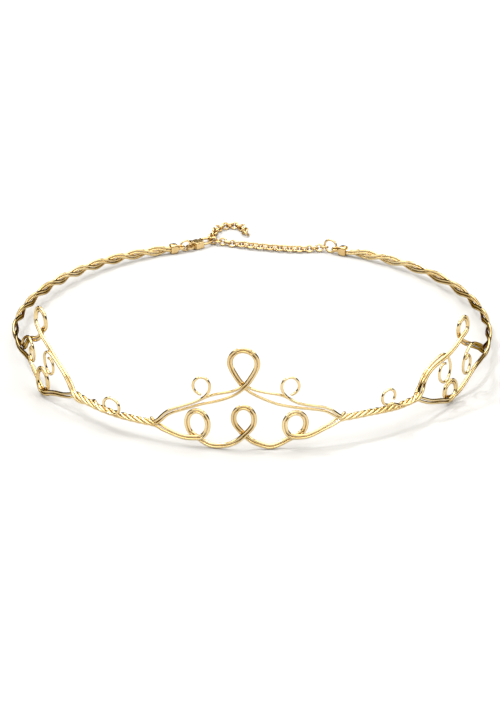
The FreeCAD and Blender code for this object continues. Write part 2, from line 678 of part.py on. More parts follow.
# Where the free tail lies on the table: x, y
TAIL_ROUTE = [(-18.4, 105.4), (-16.6, 110.2), (-12.0, 113.2), (-7.4, 110.6), (-5.6, 105.2)]
TAIL_PITCH = 1.93
# Rolls of the links at the start, middle and end of each chain, the links over which they drift
# at an end, and how much lower than its neighbours a link may hang
MAIN_ROLLS = (25.0, 69.5, 90.0)
TAIL_ROLLS = (90.0, 45.0, 135.0)
ROLL_LINKS = 6
LINK_DROP = 0.1


def slab(outline, thickness):
    """Plate of an even thickness about Z = 0 with the given outline."""
    wire = Part.makePolygon([Vector(x, y, -thickness / 2) for x, y in outline + outline[:1]])
    return Part.Face(wire).extrude(Vector(0, 0, thickness))


def disc(x, y, radius, thickness):
    return Part.makeCylinder(radius, thickness, Vector(x, y, -thickness / 2))


def clasp_body_shape():
    """Tail block with the eye, the hook's round bar and the slot and pin of the lever."""
    thickness = size["clasp_thickness"]
    block = slab([(2.0, -1.9), (5.6, -2.5), (6.3, -1.3), (6.0, 0.9), (5.4, 2.2), (3.2, 2.2), (2.0, 1.4)],
                 thickness)
    block = block.makeFillet(0.35, block.Edges)
    eye = disc(0, 0, CLASP_EYE_RADIUS, CLASP_EYE_THICKNESS)
    neck = slab([(0, -1.1), (2.6, -1.1), (2.6, 1.1), (0, 1.1)], CLASP_EYE_THICKNESS)
    line = rounded_path([Vector(x, y, 0) for x, y in HOOK_LINE], False, False)
    bar = wire_solid(line, size["clasp_bar"])
    tip = Part.makeSphere(size["clasp_bar"], Vector(HOOK_LINE[-1][0], HOOK_LINE[-1][1], 0))
    whole = block.fuse([neck, eye, bar, tip])
    slot = slab([(2.9, -0.35), (7.5, -0.35), (7.5, 4.5), (1.5, 4.5), (1.5, 1.6)], size["clasp_slot"])
    whole = whole.cut([slot, disc(0, 0, CLASP_EYE_HOLE, 3)])
    pin = disc(PIVOT[0], PIVOT[1], size["pin_radius"], thickness - 0.3)
    return whole.fuse(pin).removeSplitter()


def lever_shape():
    """Lever from the pin to the hook's tip, with a thumb tab outside the clasp."""
    thickness = size["lever_thickness"]
    boss = disc(PIVOT[0], PIVOT[1], 1.1, thickness)
    reach_x = LEVER_TIP[0] - PIVOT[0]
    reach_y = LEVER_TIP[1] - PIVOT[1]
    reach = math.hypot(reach_x, reach_y)
    normal = (-reach_y / reach * LEVER_HALF_WIDTH, reach_x / reach * LEVER_HALF_WIDTH)
    arm = slab([(PIVOT[0] + normal[0], PIVOT[1] + normal[1]), (PIVOT[0] - normal[0], PIVOT[1] - normal[1]),
                (LEVER_TIP[0] - normal[0], LEVER_TIP[1] - normal[1]),
                (LEVER_TIP[0] + normal[0], LEVER_TIP[1] + normal[1])], thickness)
    thumb = slab([(PIVOT[0] - 0.5, PIVOT[1]), (PIVOT[0] + 0.9, PIVOT[1] + 0.6), (THUMB[0] + 0.6, THUMB[1]),
                  (THUMB[0] - 0.5, THUMB[1])], thickness)
    knob = disc(THUMB[0], THUMB[1], 0.75, thickness)
    lever = boss.fuse([arm, thumb, knob])
    return lever.cut(disc(PIVOT[0], PIVOT[1], size["pin_hole"], 3)).removeSplitter()


def clasp(ring_centre, ring_heading):
    """Clasp that lies on the table with its eye around the ring's wire."""
    drop = ring_centre.z - size["clasp_height"]
    reach = math.sqrt(size["left_ring_radius"] ** 2 - drop ** 2)
    eye = Vector(ring_centre.x, ring_centre.y, size["clasp_height"]) + ring_heading * reach
    placement = Placement(eye, Rotation(Vector(0, 0, 1), CLASP_HEADING_DEG))
    add_feature("clasp_body", clasp_body_shape(), placement)
    add_feature("clasp_lever", lever_shape(), placement)
    return placement


def link_shape():
    """Near-round chain link of round wire, flat, its length along X."""
    length = size["link_half_length"]
    width = size["link_half_width"]
    end = Vector(length, 0, 0)
    corners = [Vector(length, width, 0), Vector(-length, width, 0),
               Vector(-length, -width, 0), Vector(length, -width, 0)]
    path = rounded_path([end] + corners + [end], True, True)
    return wire_solid(path, size["link_wire"])


def chain_rolls(count, first_roll, middle_roll, last_roll):
    """Roll of every link: a quarter turn from link to link, their mean drifting along the chain."""
    last = count - 1
    last_mean = last_roll - 90.0 * (last % 2)
    rolls = []
    for number in range(count):
        mean = blend(first_roll, middle_roll, min(1.0, number / ROLL_LINKS))
        mean = blend(mean, last_mean, max(0.0, 1.0 - (last - number) / ROLL_LINKS))
        rolls.append(mean + 90.0 * (number % 2))
    return rolls


def chain(name, route, spacing, end_rolls):
    """Links along a route on the table, as one sub-part of loose solids that interlock.

    Route rows are x, y and the lowest height of a link's middle. A flat link has no roll.
    """
    even = smooth(route, spacing)
    last = len(even) - 1
    rolls = chain_rolls(len(even), *end_rolls)
    lifts = [size["link_half_width"] * abs(math.sin(math.radians(roll))) + size["link_wire"] + TABLE_GAP
             for roll in rolls]
    links = []
    for number, (x, y, least) in enumerate(even):
        before = max(0, number - 1)
        after = min(last, number + 1)
        heading = math.degrees(math.atan2(even[after][1] - even[before][1], even[after][0] - even[before][0]))
        height = max(least, lifts[number], lifts[before] - LINK_DROP, lifts[after] - LINK_DROP)
        turn = Rotation(Vector(0, 0, 1), heading) * Rotation(Vector(1, 0, 0), rolls[number])
        link = link_shape()
        link.Placement = Placement(Vector(x, y, height), turn)
        links.append(link)
    add_feature(name, Part.makeCompound(links))


def hold_point(placement, hold):
    """Middle of a standing link that hangs on the hook's bar, and the next point along its chain."""
    x, y, direction = hold
    heading = math.radians(direction)
    step = Vector(math.cos(heading), math.sin(heading), 0)
    middle = placement.multVec(Vector(x, y, 0) + step * LINK_BEYOND_BAR)
    onward = placement.multVec(Vector(x, y, 0) + step * (LINK_BEYOND_BAR + 2 * size["link_pitch"]))
    return (middle.x, middle.y, 0.0), (onward.x, onward.y, 0.0)


def chains(placement, ring_centre, ring_heading):
    """Extender chain from the right ring to the hook, and its free tail behind the clasp."""
    reach = math.sqrt(size["right_ring_radius"] ** 2 - (ring_centre.z - LINK_ON_RING) ** 2)
    on_ring = ring_centre + ring_heading * (reach + LINK_BEYOND_RING)
    hook, beside_hook = hold_point(placement, HOLDS_MAIN)
    main = [(on_ring.x, on_ring.y, LINK_ON_RING),
            (on_ring.x + BESIDE_RING[0], on_ring.y + BESIDE_RING[1], BESIDE_RING[2])]
    chain("chain_main", main + MAIN_ROUTE + [beside_hook, hook], size["link_pitch"], MAIN_ROLLS)
    hook, beside_hook = hold_point(placement, HOLDS_TAIL)
    tail = [hook, beside_hook] + [(x, y, 0.0) for x, y in TAIL_ROUTE]
    chain("chain_tail", tail, TAIL_PITCH, TAIL_ROLLS)


band_wires()
for each_side in (LEFT, RIGHT):
    front_curl(each_side)
    standing_and_hanging_curl(each_side)
    rear_curl(each_side)
left_eye, left_heading = crimp(LEFT)
right_eye, right_heading = crimp(RIGHT)
left_ring = jump_ring("jump_ring_left", left_eye, left_heading, "left_ring_radius")
right_ring = jump_ring("jump_ring_right", right_eye, right_heading, "right_ring_radius")
clasp_place = clasp(left_ring, left_heading)
chains(clasp_place, right_ring, right_heading)
doc.recompute()

for sub_part in SUB_PARTS:
    if {"Invalid", "Error"} & set(sub_part.State):
        raise RuntimeError("%s was not built: %s" % (sub_part.Label, sub_part.State))
    if sub_part.Shape.isNull() or not sub_part.Shape.isValid():
        raise RuntimeError("%s has no sound shape" % sub_part.Label)
os.makedirs("parts", exist_ok=True)
for sub_part in SUB_PARTS:
    sub_part.Shape.exportStep("parts/%s.step" % sub_part.Label)
print("%d sub-parts" % len(SUB_PARTS))
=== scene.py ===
import math

import bmesh
import bpy
from mathutils import Euler, Matrix, Vector


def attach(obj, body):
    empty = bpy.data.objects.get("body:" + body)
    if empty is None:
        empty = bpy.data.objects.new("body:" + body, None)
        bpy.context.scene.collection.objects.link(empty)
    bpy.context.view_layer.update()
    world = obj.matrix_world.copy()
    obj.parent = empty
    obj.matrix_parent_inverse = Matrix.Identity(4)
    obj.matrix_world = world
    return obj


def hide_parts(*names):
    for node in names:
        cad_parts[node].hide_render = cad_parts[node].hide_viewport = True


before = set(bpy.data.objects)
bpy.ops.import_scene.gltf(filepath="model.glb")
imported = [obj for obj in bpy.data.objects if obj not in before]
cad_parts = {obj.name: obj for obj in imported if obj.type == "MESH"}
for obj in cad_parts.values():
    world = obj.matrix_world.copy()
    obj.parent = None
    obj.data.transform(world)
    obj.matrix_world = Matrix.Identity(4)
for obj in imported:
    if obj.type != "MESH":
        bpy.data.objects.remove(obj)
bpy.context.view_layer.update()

# A wire circlet on a white table. The tables are in millimetres, along the band from its front,
# and the pieces are made in metres.
MM = 0.001

size = {
    "half_width": 89.5, "half_depth": 93.0,
    "wire_radius": 0.5, "pair_half_gap": 0.54, "weave_depth": 0.62,
    "rope_radius": 0.80, "groove_radius": 1.62, "rope_end": 69.5,
    "strand_half_gap": 0.54, "strand_rise": 1.10, "strand_depth": 0.80,
    "crimp_start": 249.4, "crimp_length": 3.4, "crimp_height": 4.0, "eye_reach": 1.3,
    "right_ring_radius": 2.6, "left_ring_radius": 2.1, "ring_wire": 0.42,
    "clasp_height": 1.6, "link_pitch": 2.0,
    "link_half_length": 1.46, "link_half_width": 1.36, "link_wire": 0.37,
}
BAND_RADIUS = (size["half_width"] + size["half_depth"]) / 2
LEFT, RIGHT = -1, 1
# Stretch of the left side that is pressed in, from and to along the band, and how deep
PRESSED_IN = (84.0, 148.0, 1.2)

# What is left of a strand's offset an eighth of a turn after its top
EIGHTH_TURN = 0.76
# Last rows of a wire, in the crimp: distance from its face
CRIMP_ROWS = (0.6, 2.0)
# Twists of each side. The front one: where it starts along the band and the turns to its end.
# The rear one: where one of its strands is on top, from the upper strand's start, and where the
# strands last cross. "axis" rows are distance along the band and height of the axis. The two
# sides differ a little, as bent by hand.
FRONT_TWIST = {
    LEFT: {"start": 32.5, "turns": 3, "axis": [(32.5, 7.0), (50, 7.0), (60, 7.6), (69.5, 9.0)]},
    RIGHT: {"start": 35.4, "turns": 3, "axis": [(35.4, 9.5), (47, 9.4), (60, 8.6), (69.5, 9.2)]},
}
REAR_TWIST = {
    LEFT: {"tops": [112.5, 130.8, 145.6, 158.7, 171.4, 184.2, 195.0, 205.1, 215.2, 225.0, 234.4, 244.0],
           "last_crossing": 248.4,
           "axis": [(112.5, 9.0), (125, 7.2), (150, 5.2), (175, 4.5), (205, 3.8), (235, 2.7), (245, 2.2)]},
    RIGHT: {"tops": [119.5, 135.0, 148.4, 161.3, 175.0, 189.4, 204.0, 217.4, 229.8, 241.1],
            "last_crossing": 246.6,
            "axis": [(119.5, 7.0), (135, 5.9), (150, 5.2), (175, 4.5), (205, 3.7), (235, 2.7), (245, 2.2)]},
}
CRIMP_AXIS_HEIGHT = size["crimp_height"] / 2

# Angle of every wire of the band about the front twist's axis where the front motif begins.
SLOT_DEG = {"upper_a": 90.0, "upper_b": 0.0, "lower_a": 180.0, "lower_b": 270.0}


def band(along, height, depth):
    """Point at a distance along the band from its front, above the table, and out of the band.

    The left side is pressed in a little behind its motif.
    """
    start, end, dent = PRESSED_IN
    if start < -along < end:
        depth -= dent * math.sin(math.pi * (-along - start) / (end - start)) ** 2
    turn = along / BAND_RADIUS
    x = (size["half_width"] + depth) * math.sin(turn)
    y = -(size["half_depth"] + depth) * math.cos(turn)
    return Vector((x, y, height))


def blend(low, high, share):
    return low + (high - low) * share


def look_up(table, along):
    """Value between the rows of a two-column table."""
    for (near, first), (far, second) in zip(table, table[1:]):
        if along <= far:
            return blend(first, second, max(0.0, (along - near) / (far - near)))
    return table[-1][1]


def smooth(rows, spacing):
    """Rows at an even spacing along a smooth curve through the given rows."""
    fine = []
    steps = 12
    ends = [tuple(2 * a - b for a, b in zip(rows[0], rows[1]))]
    ends.append(tuple(2 * a - b for a, b in zip(rows[-1], rows[-2])))
    padded = [ends[0]] + rows + [ends[1]]
    for before, start, end, after in zip(padded, padded[1:], padded[2:], padded[3:]):
        for step in range(steps):
            t = step / steps
            fine.append(tuple(
                0.5 * (2 * b + (c - a) * t + (2 * a - 5 * b + 4 * c - d) * t ** 2
                       + (3 * b - a - 3 * c + d) * t ** 3)
                for a, b, c, d in zip(before, start, end, after)))
    fine.append(rows[-1])
    lengths = [0.0]
    for a, b in zip(fine, fine[1:]):
        lengths.append(lengths[-1] + math.hypot(b[0] - a[0], b[1] - a[1]))
    count = max(1, round(lengths[-1] / spacing))
    even = []
    place = 0
    for number in range(count + 1):
        target = lengths[-1] * number / count
        while place < len(fine) - 2 and lengths[place + 1] < target:
            place += 1
        share = (target - lengths[place]) / max(1e-9, lengths[place + 1] - lengths[place])
        even.append(tuple(blend(a, b, share) for a, b in zip(fine[place], fine[place + 1])))
    return even


def oval(centre, radii, start_deg, end_deg, count):
    """Points (along, height) on an oval loop, between two angles from the side away from the front."""
    points = []
    for number in range(count + 1):
        angle = math.radians(blend(start_deg, end_deg, number / count))
        points.append((centre[0] + radii[0] * math.cos(angle), centre[1] + radii[1] * math.sin(angle)))
    return points


def woven_loop(centre, radii, start_deg, end_deg, count, extra):
    """Loop rows whose depth goes evenly from in front of the band to behind it, or back."""
    first, last = extra
    rows = []
    for number, point in enumerate(oval(centre, radii, start_deg, end_deg, count)):
        depth = blend(first, last, number / count)
        rows.append(point + (size["pair_half_gap"], depth, depth))
    return rows


def pair(rows, spacing=1.7):
    """Two wires beside a centre line whose rows are: along, height, half gap, depth a, depth b."""
    even = smooth(rows, spacing)
    left_wire = []
    right_wire = []
    for number, (along, height, half_gap, depth_a, depth_b) in enumerate(even):
        before = even[max(0, number - 1)]
        after = even[min(len(even) - 1, number + 1)]
        run = after[0] - before[0]
        rise = after[1] - before[1]
        reach = math.hypot(run, rise)
        normal = (-rise / reach, run / reach)
        left_wire.append((along + normal[0] * half_gap, height + normal[1] * half_gap, depth_a))
        right_wire.append((along - normal[0] * half_gap, height - normal[1] * half_gap, depth_b))
    return left_wire, right_wire


W = size["weave_depth"]
G = size["pair_half_gap"]

# Upper strand of the front motif, from the left twist over the tall loop to the right twist.
# along, height, half gap, depth of the upper wire, depth of the lower wire
UPPER_LEFT = [
    (-30.6, 9.3, 0.60, -0.25, 0.40),
    (-28.6, 11.4, 0.56, -0.40, 0.15),
    (-26.2, 12.9, 0.55, -0.50, 0.05),
    (-22.5, 14.5, 0.55, -0.55, 0.00),
    (-17.5, 16.7, 0.60, -0.55, 0.00),
    (-14.2, 18.2, 0.95, -0.50, 0.00),
    (-10.8, 19.5, 1.30, -0.15, 0.00),
    (-7.2, 20.7, 1.20, 0.15, 0.10),
    (-3.8, 22.0, 0.85, 0.45, 0.45),
    (-1.2, 23.6, 0.58, W, W),
    (1.4, 26.1, G, W, W),
]
UPPER_LOOP = woven_loop((0.0, 33.5), (5.0, 5.0), -28, 208, 8, (W, -W))
UPPER_RIGHT = [
    (-1.4, 26.1, G, -W, -W),
    (1.2, 23.6, 0.58, -W, -W),
    (4.2, 22.0, 0.90, -0.50, -0.50),
    (8.2, 20.6, 1.35, -0.30, -0.20),
    (12.4, 19.3, 1.75, -0.35, 0.00),
    (15.8, 18.0, 1.45, -0.55, 0.00),
    (19.2, 16.5, 0.80, -0.55, 0.00),
    (24.0, 15.3, 0.55, -0.55, 0.00),
    (29.8, 13.8, 0.55, -0.50, 0.10),
    (33.4, 11.6, 0.60, -0.25, 0.40),
]
# Lower strand: left loop, dip, middle loop, dip, right loop.
LOWER_START = [
    (-30.3, 5.7, 0.62, -0.3, 0.1),
    (-26.4, 4.6, G, 0.2, 0.2),
    (-21.5, 3.7, G, W, W),
]
LEFT_LOOP = woven_loop((-16.8, 9.1), (4.0, 5.1), -82, 232, 10, (W, -W))
LEFT_DIP = [
    (-15.4, 2.6, G, -W, -W),
    (-12.8, 1.35, G, -0.3, -0.3),
    (-10.0, 1.07, G, 0.0, 0.0),
    (-5.4, 2.0, G, 0.4, 0.4),
    (-2.0, 3.8, G, W, W),
]
MIDDLE_LOOP = woven_loop((0.1, 12.0), (3.8, 4.6), -48, 228, 8, (W, -W))
RIGHT_DIP = [
    (2.0, 3.8, G, -W, -W),
    (5.4, 2.1, G, -0.4, -0.4),
    (9.7, 1.07, G, 0.0, 0.0),
    (13.4, 1.9, G, -0.5, -0.5),
    (16.6, 3.5, G, -W, -W),
]
RIGHT_LOOP = woven_loop((18.7, 9.2), (4.05, 4.6), -60, 262, 10, (-W, W))
LOWER_END = [
    (23.2, 4.6, G, W, W),
    (28.7, 6.4, G, 0.2, 0.2),
    (33.2, 8.1, 0.62, -0.3, 0.1),
]

# Single wire of each front curl, from the twist to its free end. along, height, depth
FRONT_CURLS = {
    LEFT: [
        (30.8, 9.9, 1.25), (28.9, 12.1, 0.85), (26.4, 13.9, 0.65), (22.7, 15.5, 0.58), (18.0, 17.6, 0.58),
        (14.6, 19.6, 0.60), (12.5, 22.1, 0.60), (12.0, 24.8, 0.55), (13.2, 27.0, 0.50),
        (15.4, 27.6, 0.45), (17.6, 26.2, 0.40), (18.3, 23.7, 0.40), (17.2, 21.6, 0.40),
        (15.2, 20.7, 0.45),
    ],
    RIGHT: [
        (33.7, 12.2, 1.20), (30.4, 14.6, 0.72), (24.2, 16.3, 0.58), (19.8, 17.6, 0.58),
        (16.4, 19.6, 0.60), (14.2, 22.0, 0.60), (13.5, 24.6, 0.55), (14.6, 27.0, 0.50),
        (16.9, 27.9, 0.45), (19.2, 26.6, 0.40), (20.0, 24.0, 0.40), (18.9, 21.8, 0.40),
        (16.9, 20.9, 0.45),
    ],
}
FRONT_CURL_TAIL = 2.4

# Side motifs, measured away from the front.
# along, height, half gap, depth of the upper wire, depth of the lower wire
SIDE_UPPER = {
    LEFT: [
        (71.3, 11.6, 0.66, -0.1, 0.45), (73.4, 14.3, G, 0.0, 0.1), (76.4, 16.5, G, 0.0, 0.0),
        (79.6, 18.4, G, 0.0, 0.0), (82.8, 20.8, G, 0.1, 0.1), (85.8, 23.3, G, 0.4, 0.4),
        (88.6, 25.0, G, W, W), (91.0, 26.6, G, W, W),
    ] + woven_loop((90.7, 30.6), (3.4, 4.1), -35, 215, 8, (W, -W)) + [
        (90.4, 26.2, G, -W, -W), (92.4, 23.4, G, -W, -W), (95.2, 21.0, G, -0.4, -0.4),
        (98.8, 19.5, G, 0.0, 0.0), (102.6, 17.9, G, 0.0, 0.0), (106.2, 15.5, G, 0.0, 0.0),
        (109.4, 12.4, 0.60, 0.0, 0.0),
    ],
    RIGHT: [
        (71.2, 12.0, 0.66, -0.1, 0.45), (72.9, 15.2, G, 0.0, 0.1), (76.0, 17.9, G, 0.0, 0.0),
        (80.6, 19.4, G, 0.0, 0.0), (86.0, 20.4, G, 0.2, 0.2), (90.4, 22.2, G, 0.5, 0.5),
        (94.2, 24.2, G, W, W),
    ] + woven_loop((96.6, 27.7), (2.9, 3.4), -40, 215, 8, (W, -W)) + [
        (95.0, 24.0, G, -W, -W), (97.2, 21.6, G, -W, -W), (100.2, 19.5, G, -0.4, -0.4),
        (104.7, 17.0, G, 0.0, 0.0), (109.0, 14.7, G, 0.0, 0.0), (113.0, 12.5, G, 0.0, 0.0),
        (116.6, 10.2, 0.58, 0.0, 0.0),
    ],
}
SIDE_LOWER = {
    LEFT: [
        (71.6, 7.4, 0.62, -0.4, 0.1), (76.0, 6.0, G, 0.0, 0.0), (80.6, 5.0, G, 0.0, 0.0),
        (84.4, 3.9, G, 0.4, 0.4), (87.4, 2.6, G, W, W),
    ] + woven_loop((90.5, 6.5), (3.6, 4.4), -72, 244, 10, (W, -W)) + [
        (91.8, 2.1, 0.56, -W, -W), (95.6, 4.2, 0.58, -0.5, -0.5), (99.6, 7.1, G, -0.1, -0.1),
        (104.4, 8.9, G, 0.0, 0.0), (109.4, 8.4, G, 0.0, 0.0),
    ],
    RIGHT: [
        (71.6, 7.6, 0.62, -0.4, 0.1), (76.5, 5.2, G, 0.0, 0.0), (82.0, 3.6, G, 0.3, 0.3),
        (86.0, 2.3, G, W, W),
    ] + woven_loop((88.5, 5.6), (3.3, 3.4), -72, 244, 9, (W, -W)) + [
        (90.6, 1.7, G, -W, -W), (95.2, 2.3, G, -0.3, -0.3), (100.6, 4.3, G, 0.0, 0.0),
        (106.5, 6.0, G, 0.0, 0.0), (112.0, 6.4, G, 0.0, 0.0), (116.2, 6.1, G, 0.0, 0.0),
    ],
}
# Curl that hangs from the upper strand near the front twist. along, height, depth. The left
# one lies in front of the band, the right one behind it, as their grooves in the twist lead.
SIDE_FRONT_CURL = {
    LEFT: [
        (71.6, 12.8, 1.15), (73.8, 15.3, 1.15), (76.6, 17.4, 1.10), (79.8, 19.5, 1.15),
        (82.8, 20.9, 1.25), (85.3, 19.8, 1.30), (86.6, 17.0, 0.95), (86.3, 13.7, 0.55),
        (84.4, 11.6, 0.45), (82.1, 12.3, 0.45), (81.2, 14.7, 0.45), (81.9, 16.9, 0.45),
        (83.3, 18.2, 0.45), (84.7, 17.6, 0.45),
    ],
    RIGHT: [
        (71.0, 12.8, -1.15), (73.2, 16.3, -1.15), (76.2, 18.8, -1.15), (80.2, 20.3, -1.15),
        (84.6, 20.9, -1.15), (87.8, 18.8, -1.05), (89.0, 15.2, -0.60), (88.1, 11.6, -0.40),
        (85.5, 9.7, -0.40), (82.6, 11.0, -0.40), (81.5, 13.8, -0.40), (82.3, 16.4, -0.40),
        (84.0, 17.6, -0.40), (85.7, 16.9, -0.40),
    ],
}
# Curl that hangs from the upper strand near the rear twist.
SIDE_REAR_CURL = {
    LEFT: [
        (110.2, 13.0, 1.35), (107.2, 16.2, 1.15), (103.6, 18.6, 1.15), (100.2, 19.9, 1.15),
        (97.6, 19.2, 1.25), (96.1, 16.6, 0.95), (96.5, 13.2, 0.55), (98.3, 10.8, 0.45),
        (100.5, 10.9, 0.45), (101.6, 13.1, 0.45), (101.0, 15.2, 0.45), (99.5, 16.2, 0.45), (98.3, 15.2, 0.45),
    ],
    RIGHT: [
        (112.6, 13.8, 1.20), (108.4, 16.2, 1.15), (104.2, 18.3, 1.15), (100.6, 18.9, 1.25),
        (97.8, 17.4, 1.25), (96.3, 14.6, 0.90), (96.4, 11.2, 0.55), (98.0, 8.4, 0.45),
        (100.6, 7.9, 0.45), (102.4, 9.7, 0.45), (102.8, 12.2, 0.45), (101.6, 14.4, 0.45),
        (99.8, 14.9, 0.45), (98.6, 13.6, 0.45),
    ],
}

# Wire that stands out of the front twist as a curl. "groove_deg" is its angle about the axis
# where the twist ends, "leaves" where it leaves the groove, then its rows on the way to the
# spiral: along, height, depth. The spiral turns between two angles and tightens.
STANDING_CURL = {
    LEFT: {"groove_deg": 45.0, "leaves": 56.4, "rows": [(54.4, 7.4, 1.92)],
           "centre": (50.0, 10.7), "radii": (3.7, 3.3), "angles": (-64, -395), "tightens_to": 0.85},
    RIGHT: {"groove_deg": 135.0, "leaves": 65.4,
            "rows": [(62.8, 9.2, 1.95), (60.2, 9.7, 1.95), (57.8, 10.5, 1.95)],
            "centre": (54.3, 14.6), "radii": (3.1, 3.2), "angles": (-62, -400), "tightens_to": 0.80},
}
STANDING_DEPTH = 1.92
SPIRAL_STEPS = 12


def rope_lead(side):
    twist = FRONT_TWIST[side]
    return (size["rope_end"] - twist["start"]) / twist["turns"]


def around(axis_height, radius, angle_deg, along):
    """Row (along, height, depth) at an angle about a twist's axis: 0 is outwards, 90 is up."""
    angle = math.radians(angle_deg)
    return (along, axis_height + radius * math.sin(angle), radius * math.cos(angle))


def rope_rows(side, slot):
    """One wire of the front twist, eight rows to a turn."""
    twist = FRONT_TWIST[side]
    steps = twist["turns"] * 8
    radius = size["rope_radius"] / math.cos(math.pi / 8)
    rows = []
    for step in range(steps + 1):
        along = blend(twist["start"], size["rope_end"], step / steps)
        rows.append(around(look_up(twist["axis"], along), radius, SLOT_DEG[slot] + 45.0 * step, along))
    return rows


def stacked(middles, half_gap):
    """Rows of one wire of a pair that stays one above the other, the gap square to the run."""
    rows = []
    for number, (along, height, depth) in enumerate(middles):
        before = middles[max(0, number - 1)]
        after = middles[min(len(middles) - 1, number + 1)]
        slope = (after[1] - before[1]) / (after[0] - before[0])
        rows.append((along, height + half_gap * math.hypot(1.0, slope), depth))
    return rows


def coil_rows(side, slot):
    """One wire of the rear twist, ten rows to a turn, and its way into the crimp.

    The two strands turn about the axis, but the two wires of a strand stay one above the other.
    """
    twist = REAR_TWIST[side]
    tops = list(enumerate(twist["tops"]))
    last_top = len(tops) - 1
    turned = 90.0 if slot.startswith("upper") else 270.0
    half_gap = size["strand_half_gap"] if slot.endswith("_a") else -size["strand_half_gap"]
    widen = 1 / math.cos(math.pi / 10)
    middles = []
    for step in range(5 * last_top + 1):
        along = look_up([(5 * number, top) for number, top in tops], step)
        angle = math.radians(turned + 36.0 * step)
        height = look_up(twist["axis"], along) + size["strand_rise"] * widen * math.sin(angle)
        middles.append((along, height, size["strand_depth"] * widen * math.cos(angle)))
    depth = math.copysign(1.0, math.cos(math.radians(turned + 180.0 * last_top + 90.0)))
    fall = math.copysign(1.0, math.sin(math.radians(turned + 180.0 * last_top)))
    crossing = twist["last_crossing"]
    halfway = (twist["tops"][-1] + crossing) / 2
    middles.append((halfway, look_up(twist["axis"], halfway) + fall * size["strand_rise"] * EIGHTH_TURN,
                    depth * size["strand_depth"] * EIGHTH_TURN))
    middles.append((crossing, CRIMP_AXIS_HEIGHT, depth * G))
    for reach in CRIMP_ROWS:
        middles.append((size["crimp_start"] + reach, CRIMP_AXIS_HEIGHT, depth * G))
    return stacked(middles, half_gap)


def groove_rows(side, start_along, start_deg, end_along):
    """Rows of a wire that lies in a groove of the front twist."""
    lead = rope_lead(side)
    steps = max(1, round(abs(end_along - start_along) / lead * 8))
    rows = []
    for step in range(steps + 1):
        along = blend(start_along, end_along, step / steps)
        angle = start_deg + 360.0 * (along - start_along) / lead
        radius = size["groove_radius"] / math.cos(math.pi / 8)
        rows.append(around(look_up(FRONT_TWIST[side]["axis"], along), radius, angle, along))
    return rows


def placed(side, rows):
    """Rows measured away from the front, as points on the left or the right of the band."""
    return [band(side * along, height, depth) for along, height, depth in rows]




# Finishes

# Range of the noise over which the colour and the gloss change from one end to the other
CLOUD_RANGE = (0.32, 0.68)
SMEAR_RANGE = (0.3, 0.7)
# Painted shade: dark brown tint of the gold's reflection where the wire curves away, which darkens its edges
# and the grooves between wires
PAINTED_EDGE_SHADE = (0.12, 0.06, 0.02, 1)


def add_node(tree, kind, **inputs):
    """Node with its unlinked inputs set by name."""
    node = tree.nodes.new(kind)
    for name, value in inputs.items():
        node.inputs[name.replace("_", " ")].default_value = value
    return node


def plated_gold(name, bright, deep, gloss, drift, grain, marks):
    """Gold plating: its colour drifts, its gloss varies, and drawing marks and grain roughen it."""
    finish = bpy.data.materials.new(name)
    finish.use_nodes = True
    tree = finish.node_tree
    shader = tree.nodes["Principled BSDF"]
    shader.inputs["Metallic"].default_value = 1.0
    shader.inputs["IOR"].default_value = 1.5
    # Painted shade: the dark edge tint darkens the reflection at the wire's edges and in the grooves between
    # wires.
    shader.inputs["Specular Tint"].default_value = PAINTED_EDGE_SHADE
    where = add_node(tree, "ShaderNodeTexCoord")

    clouds = add_node(tree, "ShaderNodeTexNoise", Scale=drift, Detail=3.0, Roughness=0.55)
    tree.links.new(where.outputs["Object"], clouds.inputs["Vector"])
    tint = add_node(tree, "ShaderNodeValToRGB")
    tint.color_ramp.elements[0].position = CLOUD_RANGE[0]
    tint.color_ramp.elements[0].color = deep
    tint.color_ramp.elements[1].position = CLOUD_RANGE[1]
    tint.color_ramp.elements[1].color = bright
    tree.links.new(clouds.outputs["Fac"], tint.inputs["Fac"])
    tree.links.new(tint.outputs["Color"], shader.inputs["Base Color"])

    smears = add_node(tree, "ShaderNodeTexNoise", Scale=marks, Detail=4.0, Roughness=0.6)
    tree.links.new(where.outputs["Object"], smears.inputs["Vector"])
    dullness = add_node(tree, "ShaderNodeMapRange")
    dullness.inputs["From Min"].default_value = SMEAR_RANGE[0]
    dullness.inputs["From Max"].default_value = SMEAR_RANGE[1]
    dullness.inputs["To Min"].default_value = gloss[0]
    dullness.inputs["To Max"].default_value = gloss[1]
    tree.links.new(smears.outputs["Fac"], dullness.inputs["Value"])
    tree.links.new(dullness.outputs["Result"], shader.inputs["Roughness"])

    fine = add_node(tree, "ShaderNodeTexNoise", Scale=grain, Detail=3.0, Roughness=0.6)
    tree.links.new(where.outputs["Object"], fine.inputs["Vector"])
    relief = add_node(tree, "ShaderNodeBump", Strength=0.25, Distance=0.00002)
    tree.links.new(fine.outputs["Fac"], relief.inputs["Height"])
    tree.links.new(relief.outputs["Normal"], shader.inputs["Normal"])
    return finish


polished_gold = plated_gold("polished_gold_wire", (0.87, 0.70, 0.39, 1), (0.73, 0.54, 0.25, 1),
                            (0.04, 0.11), 60.0, 2600.0, 900.0)
brushed_gold = plated_gold("brushed_gold_findings", (0.78, 0.58, 0.29, 1), (0.64, 0.44, 0.19, 1),
                           (0.12, 0.26), 140.0, 3800.0, 1500.0)


# Wires, rings and chains

def new_tree(name, inputs):
    """Geometry tree with named inputs: its entry node, its exit node and the tree."""
    tree = bpy.data.node_groups.new(name, "GeometryNodeTree")
    tree.interface.new_socket("Geometry", in_out="INPUT", socket_type="NodeSocketGeometry")
    tree.interface.new_socket("Geometry", in_out="OUTPUT", socket_type="NodeSocketGeometry")
    for label, kind, value in inputs:
        socket = tree.interface.new_socket(label, in_out="INPUT", socket_type=kind)
        if value is not None:
            socket.default_value = value
    return tree, tree.nodes.new("NodeGroupInput"), tree.nodes.new("NodeGroupOutput")


